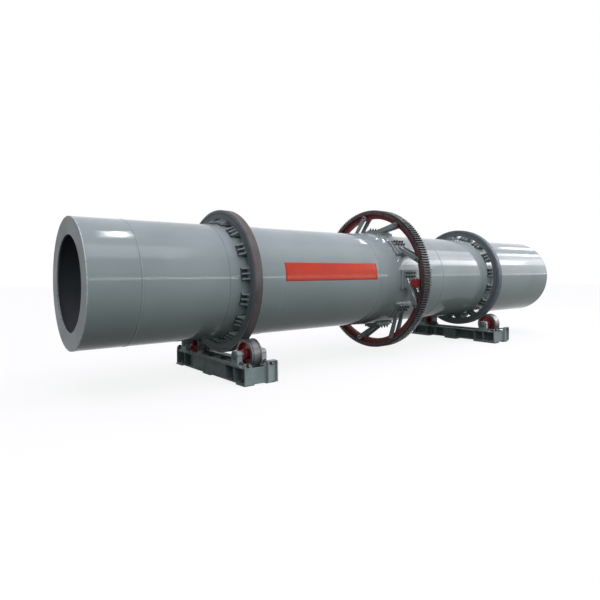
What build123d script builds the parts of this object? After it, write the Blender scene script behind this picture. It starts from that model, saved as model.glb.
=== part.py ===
"""Rotary dryer drum on two roller stations, at its real size.

The origin is on the floor under the middle of the drum. X runs along the drum
axis from the feed end to the discharge end, Z is up. Seen from the feed end,
the left side is +Y and the right side is -Y. Angles about the drum axis are
degrees above the horizontal of the right side.
"""
from build123d import *
from math import acos, cos, hypot, pi, radians, sin, tan
import os

os.makedirs("parts", exist_ok=True)

# Drum
drum_length = 11800
shell_radius = 915
shell_wall = 14
tyre_course_wall = 22
end_ring_thickness = 20
end_opening_radius = 669
axis_height = 1500

# A tyre sits nearer to the feed end of its thick shell course than to the other end
feed_end_x = -drum_length / 2
discharge_end_x = drum_length / 2
tyre_course_before = 335
tyre_course_after = 605

# Tyres and the shoes that they sit on
feed_tyre_x = -3575
discharge_tyre_x = 3087
tyre_radius = 1160
tyre_inner_radius = 1020
tyre_width = 146
tyre_edge_chamfer = 10
tyre_step_radius = 1108
tyre_step_depth = 3
shoe_count = 16
shoe_first_angle = 7.5
shoe_width = 178
shoe_overhang = 96
shoe_plate_height = 24
shoe_rib_thickness = 22
shoe_rib_end_height = 45
seat_gap = 0.3

# Welded and cast pieces run this far into each other, so that they join
join_overlap = 1

# Girth gear, in two halves
gear_x = 47
gear_module = 16
gear_teeth = 176
tooth_root_depth = 20
pressure_angle = radians(20)
gear_width = 216
rim_inner_radius = 1340
web_inner_radius = 1250
web_thickness = 90
split_angle = -3.5
joint_lug_inner_radius = 1088
joint_lug_outer_radius = 1300
joint_lug_inner_half = 45
joint_lug_outer_half = 75
joint_lug_width = 190

# Brackets that carry the gear on the shell
gear_course_start = -700
gear_course_end = 300
gear_band_start = -200
gear_band_end = 290
gear_band_radius = 945
bracket_count = 8
bracket_first_angle = -120
bracket_sweep = 280
saddle_height = 975
saddle_length = 360
saddle_width = 440
foot_thickness = 25
foot_length = 330
foot_width = 320
link_thickness = 26
link_inner_offset = 72
boss_gap = 1
link_root_high = 20
link_root_low = -160
pin_circle_radius = 1285
pin_lag = 23
pin_radius = 30
link_eye_radius = 50
boss_radius = 58
pin_head_radius = 42
pin_head_thickness = 14

# Support rollers
roller_radius = 228
roller_width = 180
roller_gap = 0.5
roller_angle = radians(38.6)
roller_rim_inner_radius = 183
roller_web_thickness = 50
roller_hub_radius = 80
roller_hub_width = 220
roller_edge_chamfer = 4
shaft_radius = 38
shaft_half_length = 262

# Bearing housings
housing_inner_offset = 176
housing_width = 82
housing_half_width = 88
housing_rise = 64
housing_corner_radius = 52
housing_foot_half_width = 145
housing_foot_height = 30
bore_gap = 0.5

# Station frames
frame_top = 255
frame_half_length = 1160
beam_inner_offset = 120
beam_depth = 138
beam_web_thickness = 14
beam_box_recess = 12
flange_thickness = 16
rib_thickness = 16
end_plate_thickness = 20
cross_member_thickness = 16
cross_member_drop = 30
cross_member_places = (-620, -200, 200, 620)
stop_top = 345
stop_offset = 197
stop_half_width = 86
stop_depth = 60
stop_wall = 16
stop_corner_radius = 36
lug_offset = 200
lug_half_width = 56
lug_height = 68
lug_corner_radius = 40
lug_thickness = 26

# Where each station's beams have their ribs, and where a plate closes them to a box
station_ribs = {"feed": (-840, 840), "discharge": (-870, -640, 470, 735)}
station_boxes = {"feed": (-580, 580), "discharge": (-90, 200)}

# Foot pads under each station: their thickness, then the middle and the length across the drum of each
pad_width = 170
station_pads = {
    "feed": (14, ((-1045, 250), (0, 250), (1045, 250))),
    "discharge": (32, ((-915, 550), (0, 320), (915, 550))),
}

drum_axis = Axis((0, 0, axis_height), (1, 0, 0))
shell_inner_radius = shell_radius - shell_wall
tyre_course_radius = shell_inner_radius + tyre_course_wall
pitch_radius = gear_module * gear_teeth / 2
tip_radius = pitch_radius + gear_module
root_radius = pitch_radius - tooth_root_depth
base_radius = pitch_radius * cos(pressure_angle)
roller_distance = tyre_radius + roller_gap + roller_radius
roller_y = roller_distance * sin(roller_angle)
roller_z = axis_height - roller_distance * cos(roller_angle)


def across_plane(x):
    """Plane across the drum at x, with its own x to the right side and its normal to the feed end."""
    return Plane(origin=(x, 0, axis_height), x_dir=(0, -1, 0), z_dir=(-1, 0, 0))


def turned_ring(start_x, end_x, inner_radius, outer_radius, chamfer_size=0):
    """Ring about the drum axis, with its outer edges chamfered where a size is given."""
    with BuildPart() as ring:
        with BuildSketch(Plane.XZ) as section:
            with Locations(((start_x + end_x) / 2, axis_height + (inner_radius + outer_radius) / 2)):
                Rectangle(end_x - start_x, outer_radius - inner_radius)
            if chamfer_size:
                chamfer(section.vertices().group_by(Axis.Y)[-1], length=chamfer_size)
        revolve(axis=drum_axis)
    return ring.part


def save(part, name):
    """Label a finished piece and write it under its node name."""
    part.label = name
    export_step(part, f"parts/{name}.step")


# Shell courses, from the feed end to the discharge end
feed_seam = feed_tyre_x - tyre_course_before
middle_seam = feed_tyre_x + tyre_course_after
rear_seam = discharge_tyre_x - tyre_course_before
discharge_seam = discharge_tyre_x + tyre_course_after
courses = {
    "feed_shell_course": (feed_end_x + end_ring_thickness, feed_seam, shell_radius),
    "feed_tyre_course": (feed_seam, middle_seam, tyre_course_radius),
    "middle_shell_course": (middle_seam, gear_course_start, shell_radius),
    "rear_shell_course": (gear_course_end, rear_seam, shell_radius),
    "discharge_tyre_course": (rear_seam, discharge_seam, tyre_course_radius),
    "discharge_shell_course": (discharge_seam, discharge_end_x - end_ring_thickness, shell_radius),
}
for course_name, (start_x, end_x, outer_radius) in courses.items():
    save(turned_ring(start_x, end_x, shell_inner_radius, outer_radius), course_name)

# Gear course: a cone rises from the shell to the thick band that carries the gear brackets
with BuildPart() as gear_course:
    with BuildSketch(Plane.XZ):
        with BuildLine():
            Polyline(
                (gear_course_start, axis_height + shell_inner_radius),
                (gear_course_start, axis_height + shell_radius),
                (gear_band_start, axis_height + gear_band_radius),
                (gear_band_end, axis_height + gear_band_radius),
                (gear_course_end, axis_height + shell_radius),
                (gear_course_end, axis_height + shell_inner_radius),
                close=True,
            )
        make_face()
    revolve(axis=drum_axis)
save(gear_course.part, "gear_shell_course")

# Flat rings that close the drum's ends round the openings
save(
    turned_ring(feed_end_x, feed_end_x + end_ring_thickness, end_opening_radius, shell_radius),
    "feed_end_ring",
)
save(
    turned_ring(discharge_end_x - end_ring_thickness, discharge_end_x, end_opening_radius, shell_radius),
    "discharge_end_ring",
)

# Tyres, each on a ring of shoes. A shoe fills the gap under the tyre, and beyond each
# face of the tyre it goes on as a low plate with three sloping ribs
stations = {"feed": feed_tyre_x, "discharge": discharge_tyre_x}
shoe_seat_radius = tyre_inner_radius - seat_gap
for station_name, tyre_x in stations.items():
    tyre_start = tyre_x - tyre_width / 2
    tyre_end = tyre_x + tyre_width / 2
    with BuildPart() as tyre:
        add(turned_ring(tyre_start, tyre_end, tyre_inner_radius, tyre_radius, tyre_edge_chamfer))
        for step_x in (tyre_start + tyre_step_depth / 2, tyre_end - tyre_step_depth / 2):
            with BuildSketch(Plane.XZ):
                with Locations((step_x, axis_height + (tyre_inner_radius + tyre_step_radius) / 2)):
                    Rectangle(tyre_step_depth, tyre_step_radius - tyre_inner_radius)
            revolve(axis=drum_axis, mode=Mode.SUBTRACT)
    save(tyre.part, f"{station_name}_tyre")

    with BuildPart() as shoe_forms:
        with BuildSketch(Plane.XZ):
            with BuildLine():
                Polyline(
                    (tyre_start - shoe_overhang, axis_height + tyre_course_radius),
                    (tyre_start - shoe_overhang, axis_height + tyre_course_radius + shoe_rib_end_height),
                    (tyre_start, axis_height + shoe_seat_radius),
                    (tyre_end, axis_height + shoe_seat_radius),
                    (tyre_end + shoe_overhang, axis_height + tyre_course_radius + shoe_rib_end_height),
                    (tyre_end + shoe_overhang, axis_height + tyre_course_radius),
                    close=True,
                )
            make_face()
        revolve(axis=drum_axis)
        with BuildSketch(across_plane(tyre_end + shoe_overhang)):
            with PolarLocations(
                (tyre_radius + shell_inner_radius) / 2, shoe_count, start_angle=shoe_first_angle
            ):
                Rectangle(tyre_radius - shell_inner_radius, shoe_width)
        extrude(amount=tyre_width + 2 * shoe_overhang, mode=Mode.INTERSECT)
        pocket_floor = tyre_course_radius + shoe_plate_height
        pocket_height = tyre_radius - pocket_floor
        pocket_width = (shoe_width - 3 * shoe_rib_thickness) / 2
        pocket_offset = (pocket_width + shoe_rib_thickness) / 2
        for pocket_end in (tyre_end + shoe_overhang, tyre_start):
            with BuildSketch(across_plane(pocket_end)):
                with PolarLocations(
                    pocket_floor + pocket_height / 2, shoe_count, start_angle=shoe_first_angle
                ):
                    with Locations((0, pocket_offset), (0, -pocket_offset)):
                        Rectangle(pocket_height, pocket_width)
            extrude(amount=shoe_overhang, mode=Mode.SUBTRACT)
    save(shoe_forms.part, f"{station_name}_tyre_shoes")


def tooth_half_angle(radius):
    """Half of a tooth's angle at a radius, in radians, from the involute of the base circle."""
    roll = acos(base_radius / radius)
    return pi / (2 * gear_teeth) + tan(pressure_angle) - pressure_angle - tan(roll) + roll


def polar(radius, angle):
    """Point of the across plane at a radius and an angle in radians."""
    return (radius * cos(angle), radius * sin(angle))


# Girth gear: each half is a toothed rim on a narrower web, with a bolting lug at both ends
tooth_pitch = 2 * pi / gear_teeth
half_teeth = gear_teeth // 2
bracket_angles = [
    bracket_first_angle + index * bracket_sweep / (bracket_count - 1) for index in range(bracket_count)
]
gear_halves = {"gear_upper_half": split_angle, "gear_lower_half": split_angle + 180}
for half_name, half_start in gear_halves.items():
    start = radians(half_start)
    middle = start + pi / 2
    end = start + pi
    with BuildPart() as gear_half:
        with BuildSketch(across_plane(gear_x + gear_width / 2)):
            with BuildLine():
                corner = polar(root_radius, start)
                for tooth in range(half_teeth):
                    centre = start + (tooth + 0.5) * tooth_pitch
                    root_before = polar(root_radius, centre - tooth_half_angle(root_radius))
                    pitch_before = polar(pitch_radius, centre - tooth_half_angle(pitch_radius))
                    tip_before = polar(tip_radius, centre - tooth_half_angle(tip_radius))
                    tip_after = polar(tip_radius, centre + tooth_half_angle(tip_radius))
                    pitch_after = polar(pitch_radius, centre + tooth_half_angle(pitch_radius))
                    root_after = polar(root_radius, centre + tooth_half_angle(root_radius))
                    Line(corner, root_before)
                    ThreePointArc(root_before, pitch_before, tip_before)
                    Line(tip_before, tip_after)
                    ThreePointArc(tip_after, pitch_after, root_after)
                    corner = root_after
                Line(corner, polar(root_radius, end))
                Line(polar(root_radius, end), polar(rim_inner_radius, end))
                ThreePointArc(
                    polar(rim_inner_radius, end),
                    polar(rim_inner_radius, middle),
                    polar(rim_inner_radius, start),
                )
                Line(polar(rim_inner_radius, start), polar(root_radius, start))
            make_face()
        extrude(amount=gear_width)
        with BuildSketch(across_plane(gear_x + web_thickness / 2)):
            with BuildLine():
                web_outer = rim_inner_radius + join_overlap
                ThreePointArc(polar(web_outer, start), polar(web_outer, middle), polar(web_outer, end))
                Line(polar(web_outer, end), polar(web_inner_radius, end))
                ThreePointArc(
                    polar(web_inner_radius, end),
                    polar(web_inner_radius, middle),
                    polar(web_inner_radius, start),
                )
                Line(polar(web_inner_radius, start), polar(web_outer, start))
            make_face()
        extrude(amount=web_thickness)
        with BuildSketch(across_plane(gear_x)):
            for lug_angle, side in ((half_start, 1), (half_start + 180, -1)):
                with PolarLocations(0, 1, start_angle=lug_angle):
                    Polygon(
                        (joint_lug_inner_radius, 0),
                        (joint_lug_outer_radius, 0),
                        (joint_lug_outer_radius, side * joint_lug_outer_half),
                        (joint_lug_inner_radius, side * joint_lug_inner_half),
                        align=None,
                    )
        extrude(amount=joint_lug_width / 2, both=True)
        own_angles = [angle - pin_lag for angle in bracket_angles]
        own_angles = [angle for angle in own_angles if (angle - half_start) % 360 < 180]
        own_pins = [polar(pin_circle_radius, radians(angle)) for angle in own_angles]
        boss_end = link_inner_offset - boss_gap
        with BuildSketch(across_plane(gear_x + boss_end)):
            with Locations(own_pins):
                Circle(boss_radius)
            Circle(rim_inner_radius + join_overlap, mode=Mode.INTERSECT)
        extrude(amount=2 * boss_end)
        with BuildSketch(across_plane(gear_x + link_inner_offset)):
            with Locations(own_pins):
                Circle(pin_radius + seat_gap)
        extrude(amount=2 * link_inner_offset, mode=Mode.SUBTRACT)
    save(gear_half.part, half_name)

# Saddles: blocks on the thick band with a flat top for the bracket feet
with BuildPart() as saddles:
    with BuildSketch(across_plane(gear_x + saddle_width / 2)):
        with PolarLocations(
            saddle_height / 2, bracket_count, start_angle=bracket_first_angle, angular_range=bracket_sweep,
            endpoint=True,
        ):
            Rectangle(saddle_height, saddle_length)
        Circle(gear_band_radius, mode=Mode.SUBTRACT)
    extrude(amount=saddle_width)
save(saddles.part, "gear_bracket_saddles")

# Brackets: a foot plate with two link plates that reach out to a pin in the gear's web
eye = polar(pin_circle_radius, radians(-pin_lag))
foot_top = saddle_height + foot_thickness
link_rise = eye[0] - foot_top
link_run = eye[1] - (link_root_high + link_root_low) / 2
link_reach = hypot(link_rise, link_run)
eye_shift = (-link_run / link_reach * link_eye_radius, link_rise / link_reach * link_eye_radius)
with BuildPart() as bracket_feet:
    with BuildSketch(across_plane(gear_x + foot_width / 2)):
        with PolarLocations(
            saddle_height + foot_thickness / 2, bracket_count, start_angle=bracket_first_angle,
            angular_range=bracket_sweep, endpoint=True,
        ):
            Rectangle(foot_thickness, foot_length)
    extrude(amount=foot_width)
save(bracket_feet.part, "gear_bracket_feet")

with BuildPart() as links:
    for link_end in (link_inner_offset + link_thickness, -link_inner_offset):
        with BuildSketch(across_plane(gear_x + link_end)):
            with PolarLocations(
                0, bracket_count, start_angle=bracket_first_angle, angular_range=bracket_sweep,
                endpoint=True,
            ):
                Polygon(
                    (foot_top, link_root_high),
                    (eye[0] + eye_shift[0], eye[1] + eye_shift[1]),
                    (eye[0] - eye_shift[0], eye[1] - eye_shift[1]),
                    (foot_top, link_root_low),
                    align=None,
                )
                with Locations(eye):
                    Circle(link_eye_radius)
                    Circle(pin_radius + seat_gap, mode=Mode.SUBTRACT)
        extrude(amount=link_thickness)
save(links.part, "gear_bracket_links")

pin_half = link_inner_offset + link_thickness
with BuildPart() as pins:
    pin_starts = PolarLocations(
        pin_circle_radius, bracket_count, start_angle=bracket_first_angle - pin_lag,
        angular_range=bracket_sweep, endpoint=True,
    )
    with BuildSketch(across_plane(gear_x + pin_half)):
        with pin_starts:
            Circle(pin_radius)
    extrude(amount=2 * pin_half)
    for head_end in (pin_half + pin_head_thickness, -pin_half):
        with BuildSketch(across_plane(gear_x + head_end)):
            with pin_starts:
                Circle(pin_head_radius)
        extrude(amount=pin_head_thickness)
save(pins.part, "gear_bracket_pins")

# Station frames, bearing housings and rollers
sides = {"right": -1, "left": 1}
for station_name, tyre_x in stations.items():
    frame_bottom, pads = station_pads[station_name]
    frame_height = frame_top - frame_bottom
    frame_width = 2 * (beam_inner_offset + beam_depth)

    # The two long beams are channels with their backs inward. A plate closes each one to a box
    # along its middle, and ribs stiffen the open lengths
    box_start, box_end = station_boxes[station_name]
    beams = {f"{station_name}_frame_near_beam": -1, f"{station_name}_frame_far_beam": 1}
    for beam_name, way in beams.items():
        inner_x = tyre_x + way * beam_inner_offset
        outer_x = inner_x + way * beam_depth
        middle_x = (inner_x + outer_x) / 2
        beam_length = 2 * (frame_half_length - end_plate_thickness)
        box_plate_x = outer_x - way * (beam_box_recess + beam_web_thickness / 2)
        with BuildPart() as beam:
            with BuildSketch(Plane.XY.offset(frame_bottom)):
                with Locations((inner_x + way * beam_web_thickness / 2, 0)):
                    Rectangle(beam_web_thickness, beam_length)
                with Locations([(middle_x, place) for place in station_ribs[station_name]]):
                    Rectangle(beam_depth, rib_thickness)
                with Locations((box_plate_x, (box_start + box_end) / 2)):
                    Rectangle(beam_web_thickness, box_end - box_start)
                with Locations((middle_x, box_start), (middle_x, box_end)):
                    Rectangle(beam_depth, rib_thickness)
            extrude(amount=frame_height)
            for flange_bottom in (frame_bottom, frame_top - flange_thickness):
                with BuildSketch(Plane.XY.offset(flange_bottom)):
                    with Locations((middle_x, 0)):
                        Rectangle(beam_depth, beam_length)
                extrude(amount=flange_thickness)
        save(beam.part, beam_name)

    with BuildPart() as end_plates:
        with BuildSketch(Plane.XY.offset(frame_bottom)):
            with Locations(
                (tyre_x, frame_half_length - end_plate_thickness / 2),
                (tyre_x, end_plate_thickness / 2 - frame_half_length),
            ):
                Rectangle(frame_width, end_plate_thickness)
        extrude(amount=frame_height)
    save(end_plates.part, f"{station_name}_frame_end_plates")

    with BuildPart() as cross_members:
        with BuildSketch(Plane.XY.offset(frame_bottom)):
            with Locations([(tyre_x, place) for place in cross_member_places]):
                Rectangle(2 * beam_inner_offset, cross_member_thickness)
        extrude(amount=frame_height - cross_member_drop)
    save(cross_members.part, f"{station_name}_frame_cross_members")

    beam_middle = beam_inner_offset + beam_depth / 2
    with BuildPart() as feet:
        with BuildSketch(Plane.XY):
            for pad_place, pad_length in pads:
                with Locations((tyre_x - beam_middle, pad_place), (tyre_x + beam_middle, pad_place)):
                    Rectangle(pad_width, pad_length)
        extrude(amount=frame_bottom)
    save(feet.part, f"{station_name}_frame_feet")

    # Adjusting stops: an open channel with a rounded head stands at each end of the far beam,
    # and a low round-topped lug on the end plate faces the bearing over the near beam
    with BuildPart() as stops:
        for way in sides.values():
            end_face = way * frame_half_length
            outer_face = end_face + way * stop_depth
            with BuildSketch(Plane.XZ.offset(-outer_face)) as stop_face:
                with Locations((tyre_x + stop_offset, (frame_bottom + stop_top) / 2)):
                    Rectangle(2 * stop_half_width, stop_top - frame_bottom)
                fillet(stop_face.vertices().group_by(Axis.Y)[-1], radius=stop_corner_radius)
            extrude(amount=way * stop_depth)
            with BuildSketch(Plane.XZ.offset(-outer_face)) as stop_hollow:
                with Locations((tyre_x + stop_offset, (frame_bottom + stop_top - stop_wall) / 2)):
                    Rectangle(2 * (stop_half_width - stop_wall), stop_top - stop_wall - frame_bottom)
                fillet(
                    stop_hollow.vertices().group_by(Axis.Y)[-1], radius=stop_corner_radius - stop_wall
                )
            extrude(amount=way * (stop_depth - stop_wall), mode=Mode.SUBTRACT)
            with BuildSketch(Plane.XZ.offset(-end_face)) as lug_face:
                with Locations((tyre_x - lug_offset, frame_top + lug_height / 2)):
                    Rectangle(2 * lug_half_width, lug_height)
                fillet(lug_face.vertices().group_by(Axis.Y)[-1], radius=lug_corner_radius)
            extrude(amount=way * lug_thickness)
    save(stops.part, f"{station_name}_adjusting_stops")

    # Bearing housings: a block with round shoulders on a broad foot, each side of every roller
    housing_top = roller_z + housing_rise
    with BuildPart() as housings:
        for housing_x in (tyre_x - housing_inner_offset, tyre_x + housing_inner_offset + housing_width):
            for way in sides.values():
                with BuildSketch(Plane.YZ.offset(housing_x)) as housing_face:
                    with Locations((way * roller_y, (frame_top + housing_top) / 2)):
                        Rectangle(2 * housing_half_width, housing_top - frame_top)
                    fillet(housing_face.vertices().group_by(Axis.Y)[-1], radius=housing_corner_radius)
                    with Locations((way * roller_y, frame_top + housing_foot_height / 2)):
                        Rectangle(2 * housing_foot_half_width, housing_foot_height)
                    with Locations((way * roller_y, roller_z)):
                        Circle(shaft_radius + bore_gap, mode=Mode.SUBTRACT)
                extrude(amount=-housing_width)
    save(housings.part, f"{station_name}_bearing_housings")

    for side_name, way in sides.items():
        roller_axis = Axis((0, way * roller_y, roller_z), (1, 0, 0))
        with BuildPart() as roller:
            with BuildSketch(Plane.XZ.offset(-way * roller_y)) as roller_section:
                with Locations((tyre_x, roller_z + (roller_rim_inner_radius + roller_radius) / 2)):
                    Rectangle(roller_width, roller_radius - roller_rim_inner_radius)
                chamfer(roller_section.vertices().group_by(Axis.Y)[-1], length=roller_edge_chamfer)
                with Locations((tyre_x, roller_z + (shaft_radius + roller_rim_inner_radius) / 2)):
                    Rectangle(roller_web_thickness, roller_rim_inner_radius - shaft_radius)
                with Locations((tyre_x, roller_z + (shaft_radius + roller_hub_radius) / 2)):
                    Rectangle(roller_hub_width, roller_hub_radius - shaft_radius)
            revolve(axis=roller_axis)
        save(roller.part, f"{station_name}_{side_name}_roller")

        with BuildPart() as shaft:
            with BuildSketch(Plane.YZ.offset(tyre_x - shaft_half_length)):
                with Locations((way * roller_y, roller_z)):
                    Circle(shaft_radius)
            extrude(amount=2 * shaft_half_length)
        save(shaft.part, f"{station_name}_{side_name}_roller_shaft")
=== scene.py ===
"""Looks of a rotary dryer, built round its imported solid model.

The drum lies along X, from its feed end to its discharge end, with Z up. Its right side
faces -Y, towards the camera. Angles about the drum axis are degrees above the horizontal
of the right side.
"""

import logging
from dataclasses import dataclass, replace
from enum import Enum
from itertools import product
from typing import Sequence

import bmesh
import bpy
import numpy as np
from mathutils import Matrix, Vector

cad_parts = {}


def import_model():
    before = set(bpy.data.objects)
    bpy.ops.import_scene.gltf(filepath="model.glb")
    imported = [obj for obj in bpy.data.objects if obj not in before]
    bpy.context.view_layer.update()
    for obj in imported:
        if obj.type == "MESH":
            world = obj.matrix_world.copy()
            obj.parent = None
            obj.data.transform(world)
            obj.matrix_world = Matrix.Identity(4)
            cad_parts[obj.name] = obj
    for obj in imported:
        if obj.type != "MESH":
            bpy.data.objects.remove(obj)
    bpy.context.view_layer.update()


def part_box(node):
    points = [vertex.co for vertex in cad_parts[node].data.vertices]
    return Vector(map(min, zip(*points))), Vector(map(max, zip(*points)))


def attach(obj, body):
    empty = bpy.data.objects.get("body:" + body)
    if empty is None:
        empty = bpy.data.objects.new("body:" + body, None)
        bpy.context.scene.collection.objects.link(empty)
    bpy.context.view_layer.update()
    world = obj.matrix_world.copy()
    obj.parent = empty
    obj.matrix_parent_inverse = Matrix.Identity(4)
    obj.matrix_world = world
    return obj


LOG = logging.getLogger("dryer")

Colour = tuple[float, float, float]
Point = tuple[float, float, float]
Numbers = float | np.ndarray

# A direction with a larger share of Z than this is turned across with X in place of Z.
STEEP = 0.9
# Angle in radians by which a swept bead's ripple moves on at each step.
RIPPLE_STEP = 2.2
# Points nearer to each other than this, in metres, become one.
MERGE_DISTANCE = 1e-6
# Edges with a larger angle than this, in degrees, stay sharp.
SHARP_ANGLE = 34


class Station(Enum):
    """The two roller stations under the tyres."""

    FEED = "feed"
    DISCHARGE = "discharge"


class Side(Enum):
    """Sides of the machine, with the sign of Y that each lies on."""

    RIGHT = -1
    LEFT = 1


# Surfaces


@dataclass
class Surface:
    """Points and four-cornered faces of a piece that isn't an object yet.

    Attributes:
        points: Rows of X, Y, Z in metres.
        faces: Rows of four point numbers.
    """

    points: np.ndarray
    faces: np.ndarray


@dataclass
class Frames:
    """Local axes and origins at which copies of a surface are placed.

    Attributes:
        axes: One 3 by 3 array for each copy, whose rows are its local x, y and z.
        origins: One point for each copy.
    """

    axes: np.ndarray
    origins: np.ndarray


def grid_faces(rows: int, columns: int, wrap: bool) -> np.ndarray:
    """Number the faces of a grid of points that is stored row by row.

    Args:
        rows: Number of rows of points.
        columns: Number of points in a row.
        wrap: Whether the last column joins the first.

    Returns:
        Rows of four point numbers.
    """
    used = columns if wrap else columns - 1
    row, column = np.meshgrid(np.arange(rows - 1), np.arange(used), indexing="ij")
    after = (column + 1) % columns
    corners = [
        row * columns + column,
        row * columns + after,
        (row + 1) * columns + after,
        (row + 1) * columns + column,
    ]
    return np.stack(corners, axis=-1).reshape(-1, 4)


def turned(profile: Sequence[tuple[float, float]], steps: int) -> Surface:
    """Turn a profile round the local z axis: a point is (r cos a, r sin a, z).

    Args:
        profile: Pairs of radius r and height z, from the bottom to the top.
        steps: Number of angles a round the axis.

    Returns:
        The turned surface, closed where the profile starts and ends at radius zero.
    """
    radius, height = np.array(profile, float).T
    angle = np.arange(steps) * 2 * np.pi / steps
    points = np.stack(
        [
            np.outer(radius, np.cos(angle)),
            np.outer(radius, np.sin(angle)),
            np.repeat(height[:, None], steps, axis=1),
        ],
        axis=-1,
    )
    return Surface(points.reshape(-1, 3), grid_faces(len(radius), steps, wrap=True))


def swept(paths: np.ndarray, radius: float, sides: int = 6, ripple: float = 0.0) -> Surface:
    """Sweep a round section along paths, closed to a point at both ends.

    With t the direction of the path, u across it and w = t x u, the point at step i and
    angle a is path(i) + r(i) (u cos a + w sin a). The radius r(i) falls to zero at both ends
    and ripples between them.

    Args:
        paths: Points of every path, as an array of paths by steps by three.
        radius: Radius of the section.
        sides: Number of sides of the section.
        ripple: Share by which the radius rises and falls along the path.

    Returns:
        The surface of all the paths.
    """
    count, steps = paths.shape[:2]
    along = np.gradient(paths, axis=1)
    along = along / np.linalg.norm(along, axis=2, keepdims=True)
    helper = np.where(np.abs(along[..., 2:]) > STEEP, [[[1.0, 0.0, 0.0]]], [[[0.0, 0.0, 1.0]]])
    across = np.cross(helper, along)
    across = across / np.linalg.norm(across, axis=2, keepdims=True)
    upward = np.cross(along, across)
    size = radius * (1 + ripple * np.cos(np.arange(steps) * RIPPLE_STEP))
    size[[0, -1]] = 0.0
    angle = np.arange(sides) * 2 * np.pi / sides
    ring = across[:, :, None] * np.cos(angle)[:, None] + upward[:, :, None] * np.sin(angle)[:, None]
    points = paths[:, :, None] + size[:, None, None] * ring
    faces = grid_faces(steps, sides, wrap=True)[None] + np.arange(count)[:, None, None] * steps * sides
    return Surface(points.reshape(-1, 3), faces.reshape(-1, 4))


def straight(starts: Sequence[Point], ends: Sequence[Point], steps: int) -> np.ndarray:
    """Straight paths from starts to ends: start + t (end - start) for t from 0 to 1.

    Args:
        starts: Rows of X, Y, Z.
        ends: Rows of X, Y, Z.
        steps: Number of points on each path.

    Returns:
        An array of paths by steps by three.
    """
    share = np.linspace(0, 1, steps)[:, None]
    starts, ends = np.array(starts, float), np.array(ends, float)
    return starts[:, None] + share * (ends - starts)[:, None]


def joined(surfaces: Sequence[Surface]) -> Surface:
    """Put several surfaces into one.

    Args:
        surfaces: The surfaces to join.

    Returns:
        One surface with the points and faces of all.
    """
    starts = np.cumsum([0] + [len(surface.points) for surface in surfaces[:-1]])
    return Surface(
        np.concatenate([surface.points for surface in surfaces]),
        np.concatenate([surface.faces + start for surface, start in zip(surfaces, starts)]),
    )


def repeated(surface: Surface, frames: Frames) -> Surface:
    """Copy a surface to each frame: a point p goes to the origin plus p in the frame's axes.

    Args:
        surface: The surface in local coordinates.
        frames: Where the copies go.

    Returns:
        One surface with all the copies.
    """
    points = np.einsum("pj,kji->kpi", surface.points, frames.axes) + frames.origins[:, None, :]
    count = len(frames.origins)
    faces = surface.faces[None] + np.arange(count)[:, None, None] * len(surface.points)
    return Surface(points.reshape(-1, 3), faces.reshape(-1, 4))


def towards(direction: Point, origins: Sequence[Point] | np.ndarray) -> Frames:
    """Frames whose local z points in one direction, such as bolts through a flat face.

    Args:
        direction: The direction of local z.
        origins: Rows of X, Y, Z.

    Returns:
        One frame for each origin.
    """
    z_axis = np.array(direction, float)
    helper = np.array([0.0, 0.0, 1.0]) if abs(z_axis[2]) < STEEP else np.array([1.0, 0.0, 0.0])
    x_axis = np.cross(helper, z_axis)
    x_axis = x_axis / np.linalg.norm(x_axis)
    axes = np.stack([x_axis, np.cross(z_axis, x_axis), z_axis])
    origins = np.array(origins, float)
    return Frames(np.repeat(axes[None], len(origins), axis=0), origins)


@dataclass(frozen=True)
class DrumAxis:
    """The line that the drum turns about, and places round it."""

    height: float = 1.5

    def outward(self, angle: Numbers) -> np.ndarray:
        """Unit vectors away from the axis at angles in degrees."""
        radians = np.radians(angle)
        return np.stack([np.zeros_like(radians), -np.cos(radians), np.sin(radians)], axis=-1)

    def forward(self, angle: Numbers) -> np.ndarray:
        """Unit vectors round the axis, towards larger angles."""
        radians = np.radians(angle)
        return np.stack([np.zeros_like(radians), np.sin(radians), np.cos(radians)], axis=-1)

    def place(self, x: Numbers, radius: Numbers, angle: Numbers) -> np.ndarray:
        """Find points from their place along the axis, radius and angle.

        Args:
            x: Places along the axis.
            radius: Distances from the axis.
            angle: Angles in degrees.

        Returns:
            The points, with the broadcast shape of the three arguments.
        """
        x, radius, angle = np.broadcast_arrays(x, radius, angle)
        points = self.outward(angle.astype(float)) * radius[..., None]
        points[..., 0] += x
        points[..., 2] += self.height
        return points

    def frames(self, x: Numbers, radius: Numbers, angle: Numbers) -> Frames:
        """Frames on the drum, with local x along it, y round it and z outward.

        Args:
            x: Places along the axis.
            radius: Distances from the axis.
            angle: Angles in degrees.

        Returns:
            One frame for each place.
        """
        x, radius, angle = [part.ravel() for part in np.broadcast_arrays(x, radius, angle)]
        along = np.repeat([[1.0, 0.0, 0.0]], len(angle), axis=0)
        axes = np.stack([along, self.forward(angle), self.outward(angle)], axis=1)
        return Frames(axes, self.place(x, radius, angle))


AXIS = DrumAxis()


# Finishes


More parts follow.
